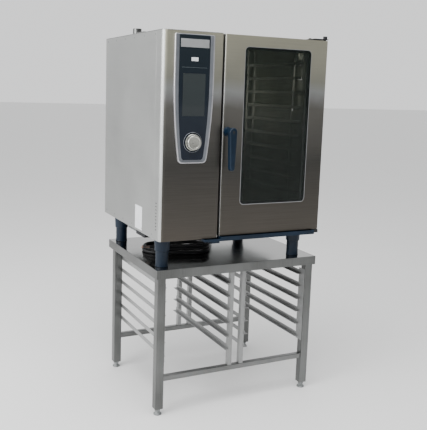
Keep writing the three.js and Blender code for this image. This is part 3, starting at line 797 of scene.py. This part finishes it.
def rear_details():
    """Louvres, screws and two water inlets on the back."""
    back = BODY["depth"] - 4
    louvre = block((90, 210), (back, back + 3.8), (560, 568), 1.7, 3)
    louvres = copies(louvre, "side", 2, (160, 0, 0), 14, (0, 0, 17))
    show("rear_louvres", mesh_of(louvres, OVEN), "side", "root")
    # Black strips under the louvres: painted shade in their openings.
    gap = block((92, 208), (back + 1.5, back + 2.3), (555, 560.5), 0.2, 1)
    gaps = copies(gap, "black", 2, (160, 0, 0), 14, (0, 0, 17))
    show("rear_louvre_shade_strips", mesh_of(gaps, OVEN), "black", "root")

    def row(x, z, columns, across, rows, up):
        screw = turned(screw_head(4.2, 1.5), "X", -90, (x, back + 2, z))
        return copies(screw, "zinc", columns, across, rows, up)

    edges = [row(22, 30, 7, (133.5, 0, 0), 2, (0, 0, 860)), row(22, 160, 2, (801, 0, 0), 5, (0, 0, 147))]
    show("rear_screws", mesh_of(joined(*edges), OVEN), "zinc", "root")

    for name, x in (("cold_inlet", 120), ("soft_inlet", 190)):
        plate = block((x - 24, x + 24), (back, back + 1.8), (95, 143), 0.8)
        profile = [(0, 655), (12, 655), (12, back + 2.5), (9.5, back + 3.6), (9.5, back - 6), (0, back - 6)]
        stub = lathe(profile, (x, 0, 119), "y", 32)
        show(name, mesh_of(joined(plate, stub), OVEN), "zinc", "root")


def roof_details():
    """The folded vent cover with black strips of painted shade for its louvres, the low strip and the round
    stub.
    """
    top = BODY["height"] + 0.3
    cover = block((62, 150), (400, 505), (top, top + 18), 2.5, 3)
    strip = block((86, 126), (504, 622), (top, top + 4), 1.2)
    # Black strips on the cover's front: painted shade standing for its louvre slots.
    slot = block((70, 142), (398.6, 400.2), (top + 4, top + 5.6), 0.5, 1)
    slots = copies(slot, "black", 1, (0, 0, 0), 4, (0, 0, 3.2))
    stub = lathe([(19, top + 6), (19, top + 44), (19.6, top + 45.6), (20.8, top + 46), (22, top + 45.2),
                  (22, top + 6), (25, top + 3.2), (25, top + 0.4), (19, top + 0.4)], (106, 600, 0))
    show("vent_cover", mesh_of(joined(cover, strip, stub), OVEN), "frame", "root",
         ["roof_vent"])
    show("vent_slot_shade", mesh_of(slots, OVEN), "black", "root")
    screw = moved(screw_head(4, 1.4), (34, 120, top - 0.4))
    screws = copies(screw, "zinc", 2, (779, 0, 0), 5, (0, 152, 0))
    show("roof_screws", mesh_of(screws, OVEN), "zinc", "root")


# ---- Chamber ------------------------------------------------------------------------------
def liner():
    """The cooking chamber's welded shell, rounded and coved at the back, and the drain in its floor."""
    x, z, front, back, wall, cove = (300, 792), (112, 905), 54.3, 640, 2, 22

    def ring(inset, y, corner):
        plan = rounded_square((x[0] + inset, x[1] - inset), (z[0] + inset, z[1] - inset), corner, 6)
        return [(a, y, b) for a, b in plan]

    rings = [ring(cove, back, 4), ring(0.3 * cove, back - 0.3 * cove, 16), ring(0, back - cove, 22),
             ring(0, front, 22), ring(wall, front, 20)]
    for step in range(7):
        angle = math.radians(15 * step)
        inset = wall + (1 - math.cos(angle)) * cove
        rings.append(ring(inset, back - wall - cove + math.sin(angle) * cove, max(2, 20 - 18 * step / 6)))
    shell = lofted(rings)
    grid = [block((531 + 12 * i, 537 + 12 * i), (470, 530), (114.2, 116.2), 0.6, 1) for i in range(6)]
    rim = lathe([(41, 114.1), (47, 114.1), (47, 115.4), (45.6, 116.6), (42.4, 116.6), (41, 115.4)],
                (564, 500, 0), "z", 48)
    show("liner_walls", mesh_of(shell, OVEN), "chamber", "root", ["cavity_liner"])
    show("chamber_drain", mesh_of(joined(*grid, rim), OVEN), "rack", "root")


def fan_guard():
    """Four wire rings and six spokes in front of the fan."""
    x, y, z = FAN

    def spot(radius, degrees, place=x):
        angle = math.radians(degrees)
        return place, y + radius * math.cos(angle), z + radius * math.sin(angle)

    rings = [wire([spot(r, 7.5 * k, x - 2 * (r % 2)) for k in range(49)], 1.3, "rack", 8)
             for r in (30, 55, 80, 101)]
    spokes = [wire([spot(12, a), spot(112, a)], 1.6, "rack", 8) for a in range(0, 360, 60)]
    show("fan_guard", mesh_of(joined(*rings, *spokes), OVEN), "rack", "root")


def chamber_lamp():
    lens = lathe([(0, 777), (20, 777.6), (23, 780), (23.6, 789), (0, 789)], LAMP, "x", 40)
    show("lamp_lens", mesh_of(lens, OVEN), "lamp", "root", ["cavity_lamp"])
    rim = lathe([(24, 776.8), (28.5, 777.4), (29, 789.4), (24, 789.4)], LAMP, "x", 40)
    show("lamp_rim", mesh_of(rim, OVEN), "rack", "root")


def chamber():
    liner()
    eased("baffle_sheet", "air_baffle", "chamber", 0.6)
    eased("fan_blades", "fan_wheel", "zinc", 0.4, 1)
    eased("left_rack_rails", "rack_left", "rack", 0.6)
    eased("right_rack_rails", "rack_right", "rack", 0.6)
    eased("door_gasket", "door_seal", "rubber", 3.6, 4)

    fan_guard()
    chamber_lamp()
    dimple = turned(screw_head(3.2, 1.4), "X", 90, (440, 637.6, 170))
    shown = copies(dimple, "rack", 5, (72, 0, 0), 2, (0, 0, 680))
    show("liner_rivets", mesh_of(shown, OVEN), "rack", "root")


# ---- Door ---------------------------------------------------------------------------------
def door():
    skin = eased("door_skin", "door_shell", "front", 0.7, 3)
    # Faces turned to either side get the lighter side steel and the rest the darker front steel: lit and shaded
    # copies of one steel, chosen by which way a face turns.
    repaint(skin, "side", lambda face: abs(face.normal.x) > 0.72)
    eased("door_back_skin", "door_back_panel", "side", 0.6)
    eased("outer_pane", "outer_glass", "door_glass", 0.5)
    eased("inner_pane", "inner_glass", "inner_glass", 0.8)

    def border(name, inset, outset, y, paint):
        rings = []
        for by, place in ((outset, y[0]), (inset, y[0]), (inset, y[1]), (outset, y[1])):
            x = (WINDOW["x"][0] + by, WINDOW["x"][1] - by)
            z = (WINDOW["z"][0] + by, WINDOW["z"][1] - by)
            rings.append([(a, place, b) for a, b in rounded_square(x, z, max(4, 20 - by), 8)])
        show(name, mesh_of(lofted(rings, looped=True), OVEN), paint, "door")

    border("window_edge", 1.7, 0.1, (0.06, 0.42), "trim")
    border("pane_gasket", 2.6, 0.2, (0.45, 0.79), "rubber")
    border("pane_print", 15, 0.8, (5.05, 5.35), "black")
    border("pane_spacer", 5, 0.3, (12, 33), "zinc")

    clip = block((404, 416), (30, 34), (170, 196), 1)
    clips = copies(clip, "rack", 2, (333, 0, 0), 3, (0, 0, 325))
    show("pane_clips", mesh_of(clips, OVEN), "rack", "door")


def handle():
    """The lever: two rounds and the lines that touch both, softened all round, on a stout hub."""
    x, top_z, low_z, top_r, low_r = 320, 488, 328, 20, 13

    def outline(inset, low=low_z):
        big, small = top_r - inset, low_r - inset
        lean = math.asin((top_r - low_r) / (top_z - low_z))
        points = []
        for i in range(17):
            a = -lean + (math.pi + 2 * lean) * i / 16
            points.append((x + big * math.cos(a), top_z + big * math.sin(a)))
        for i in range(13):
            a = math.pi + lean + (math.pi - 2 * lean) * i / 12
            points.append((x + small * math.cos(a), low + small * math.sin(a)))
        return points

    steps = [(-42.0, 4), (-42.6, 1.8), (-44.2, 0.4), (-46, 0), (-57, 0), (-61, 0.9), (-63.6, 3), (-65, 6),
             (-65.4, 9)]
    lever = lofted([[(a, y, b) for a, b in outline(inset)] for y, inset in steps])
    flare = [(0, -44), (16.6, -44), (16.6, -30), (17, -12), (18.4, -5), (21, -2.2), (21.6, -0.7), (0, -0.7)]
    hub = lathe(flare, (x, 0, top_z), "y", 48)
    spindle = lathe([(0, -2), (8, -2), (8, 25.4), (7.4, 26), (0, 26)], (x, 0, top_z), "y", 24)
    cam = block((x - 13, x + 13), (17, 23), (top_z - 9, top_z + 9), 1.5)
    show("door_lever", mesh_of(joined(lever, hub, spindle, cam), OVEN), "blue", "door_handle",
         ["handle_lever"])
    cap = lathe([(0, -66), (5.6, -66), (6.6, -65.2), (6.6, -60), (0, -60)], (x, 0, top_z), "y", 32)
    show("lever_cap", mesh_of(cap, OVEN), "black", "door_handle")


def hinges():
    eased("top_hinge", "top_hinge_bracket", "black", 1.0, 3)
    eased("low_hinge", "bottom_hinge_bracket", "black", 1.0, 3)
    top = BODY["height"] + 4.3
    screw = moved(screw_head(5, 3), (802, 70, top))
    screws = copies(screw, "zinc", 2, (28, 0, 0))
    show("hinge_screws", mesh_of(screws, OVEN), "zinc", "root")
    eased("drip_channel", "drip_tray", "blue", 1.2, 3)


# ---- Controls -----------------------------------------------------------------------------
def bowed(start, middle, end, steps=12):
    """Points on a quadratic curve, without its start."""
    points = []
    for i in range(1, steps + 1):
        t = i / steps
        points.append(tuple((1 - t) ** 2 * a + 2 * t * (1 - t) * b + t * t * c
                            for a, b, c in zip(start, middle, end)))
    return points


def panel_outline(half, low_half, top, bottom, corner, ease=7):
    """The panel's right half from its top middle, down its side to the bottom, then mirrored."""
    bend, foot = 700, bottom + corner
    side = [(half - ease, top)]
    side += bowed((half - ease, top), (half, top), (half, top - ease), 5)
    side += [(half, 800), (half, bend)]
    side += bowed((half, bend), (half, 540), (low_half, foot))
    side += bowed((low_half, foot), (low_half - 3, bottom), (low_half - corner, bottom), 6)
    whole = side + [(-x, z) for x, z in reversed(side)]
    return [(PANEL_X + x, z) for x, z in whole]


def between(first, second, share):
    return [tuple(a + (b - a) * share for a, b in zip(p, q)) for p, q in zip(first, second)]


def controls():
    outer = panel_outline(95.5, 71, 905, 348, 22)
    inner = panel_outline(73.5, 53, 901, 363.5, 14, 4)

    def band(name, steps, paint):
        rings = [[(x, y, z) for x, z in between(outer, inner, share)] for share, y in steps]
        show(name, mesh_of(lofted(rings, looped=True), OVEN), paint, "root",
             ["control_bezel"], 50)

    band("bezel_rim", [(0, -0.3), (0, -5.5), (0.02, -7.8), (0.06, -9.3), (0.13, -9.9), (0.2, -10),
                       (0.26, -9.7), (0.3, -9.3), (0.3, -0.3)], "trim")
    band("bezel_bevel", [(0.305, -0.3), (0.305, -9.2), (0.42, -8.9), (0.8, -7.9), (0.99, -7.1), (0.99, -0.3)],
         "bevel")
    eased("panel_glass_sheet", "control_glass", "panel", 0.4)
    eased("screen_glass", "display_panel", "screen", 0.3)
    eased("blank_badge", "badge_plate", "badge", 0.6)
    eased("usb_door", "usb_flap", "plate", 0.5)
    line = block((PANEL_X - 60, PANEL_X + 60), (GLASS_Y - 0.25, GLASS_Y + 0.1), (763.5, 764.2), 0.15, 1)
    show("lit_line", mesh_of(line, OVEN), "line", "root")


def dial():
    """The knob with its fine grip ribs and dished face, and the fixed well and thin grey ring round it."""
    flank = [(5.4, -10.4), (35.4, -10.4), (36.4, -11.6), (36.4, -13), (34.6, -14.2), (33.2, -27)]
    face = [(32.2, -30.6), (30, -32.6), (27.5, -33), (25.2, -32.4), (23.5, -31), (12, -30.4), (0, -30.2)]
    bore = [(0, -24.6), (5.4, -24.6)]
    knob = lathe(flank + face + bore, (PANEL_X, 0, DIAL_Z), "y", 96)
    rib = block((-0.35, 0.7), (-0.45, 0.45), (14.4, 26.4), 0.3, 1)
    ribs = turned(around(rib, "dial", 60, 33.7), "X", 90, (PANEL_X, 0, DIAL_Z))
    show("dial_cap", mesh_of(joined(knob, ribs), OVEN), "dial", "dial", ["dial_knob"])
    ring = lathe([(42.4, -7.1), (42.4, -8.8), (42.8, -9.3), (43.6, -9.3), (44.2, -8.8), (44.4, -7.1)],
                 (PANEL_X, 0, DIAL_Z), "y", 96)
    show("dial_ring", mesh_of(ring, OVEN), "bevel", "root")
    well = lathe([(37.4, -7.1), (37.4, -7.6), (38.6, -7.7), (40.4, -8.2), (42.2, -9.2), (42.2, -7.1)],
                 (PANEL_X, 0, DIAL_Z), "y", 96)
    show("dial_well", mesh_of(well, OVEN), "panel", "root")


# ---- Feet ---------------------------------------------------------------------------------
def oven_feet():
    pad = [(0, -124.7), (28, -124.7), (30, -123.6), (30, -120.5), (29, -118.4)]
    sleeve = [(28.6, -84), (29.4, -82.6), (29.4, -80), (28.8, -78.6), (29, -56)]
    collar = [(30.4, -53.4), (33, -51.4), (33.4, -49.6), (34.2, -26), (36, -3), (35.6, -0.8), (0, -0.8)]
    for row, y in (("front", 60), ("rear", 612)):
        for column, x in (("left", 40), ("right", 742)):
            node = f"oven_foot_{row}_{column}"
            foot = lathe(pad + sleeve + collar, (x, y, 0))
            show(f"{node}_moulding", mesh_of(foot, OVEN), "foot", f"{node}_screw", [node])


# ---- Under the oven and inside it ---------------------------------------------------------
def services():
    eased("terminal_cover", "terminal_box", "zinc", 1.5)
    eased("duct_moulding", "air_duct", "black", 2.0, 3)
    eased("drain_bend", "drain_pipe", "zinc", 1.0)
    eased("gland_body", "cable_gland", "black", 0.8)
    eased("generator_tank", "steam_generator", "zinc", 2.0)
    dress("zinc", "floor_pan", "fan_motor", "heater_coil", "electronics_box")
    dress("dial", "dial_shaft")


def dress(paint, *nodes):
    """Paints frame nodes that are shown as they are."""
    for node in nodes:
        mesh = frame["nodes"][node].data
        mesh.materials.clear()
        mesh.materials.append(PAINT[paint].material)


# ---- Stand --------------------------------------------------------------------------------
def stand():
    top = eased("stand_sheet", "stand_top", "frame", 1.4, 3)
    repaint(top, "mirror", lambda face: face.normal.z > 0.9 and face.center.z > 0.68)

    legs = {"left": (9, 49), "right": (798, 838)}
    rows = {"front": (9, 49), "rear": (598, 638)}
    foot_profile = [(0, 0), (18.4, 0), (19, 0.8), (19, 4.4), (17.6, 6), (12.6, 9.4), (11, 12.5), (11, 29.6),
                    (9, 29.6), (9, 55), (0, 55)]
    for row, y in rows.items():
        for column, x in legs.items():
            name = f"leg_{row}_{column}"
            tube = square_tube(x, y, (30, 687.7))
            show(f"{name}_tube", mesh_of(tube, STAND), "frame", "root", [name])
            foot = f"stand_foot_{row}_{column}"
            middle = (sum(x) / 2, sum(y) / 2, 0)
            body = lathe(foot_profile, middle, "z", 40)
            nut = lathe([(10.6, 18), (14, 18), (14.6, 19), (14.6, 25), (14, 26), (10.6, 26)], middle, "z", 6)
            show(f"{foot}_screwed", mesh_of(joined(body, nut), STAND), "zinc", f"{foot}_screw",
                 [foot])
    for row, y in rows.items():
        middle = sum(y) / 2
        rail = square_tube((middle - 12.5, middle + 12.5), (160, 185), (49.3, 797.7), "x", 2.5)
        show(f"{row}_rail_tube", mesh_of(rail, STAND), "cross", "root",
             [f"{row}_cross_rail"])
    for node in ("outer_left_ladder", "outer_right_ladder", "inner_left_ladder", "inner_right_ladder"):
        eased(f"{node}_rails", node, "rail", 0.5)
    stand_fixings(legs, rows)


def stand_fixings(legs, rows):
    """Weld beads where the rails meet the legs, and screws through the ladder strips."""
    beads = []
    for y in rows.values():
        middle = sum(y) / 2
        for x in (49.2, 797.8):
            loop = [(x, a, b) for a, b in rounded_square((middle - 13, middle + 13), (159.5, 185.5), 3)]
            beads.append(wire(loop + loop[:1], 1.1, "frame", 8))
    show("weld_beads", mesh_of(joined(*beads), STAND), "frame", "root")
    screws = []
    for y in rows.values():
        middle = sum(y) / 2
        for x, face in ((51.3, 90), (795.7, -90)):
            unit = turned(screw_head(5, 1.8), "Y", face, (x, middle, 300))
            screws.append(copies(unit, "zinc", 1, (0, 0, 0), 5, (0, 0, 65)))
    show("ladder_screws", mesh_of(joined(*screws), STAND), "zinc", "root")


# ---- Making -------------------------------------------------------------------------------
camera()
studio()
supply_cable()
casing()
side_details()
rear_details()
roof_details()
chamber()
door()
handle()
hinges()
controls()
dial()
oven_feet()
services()
stand()
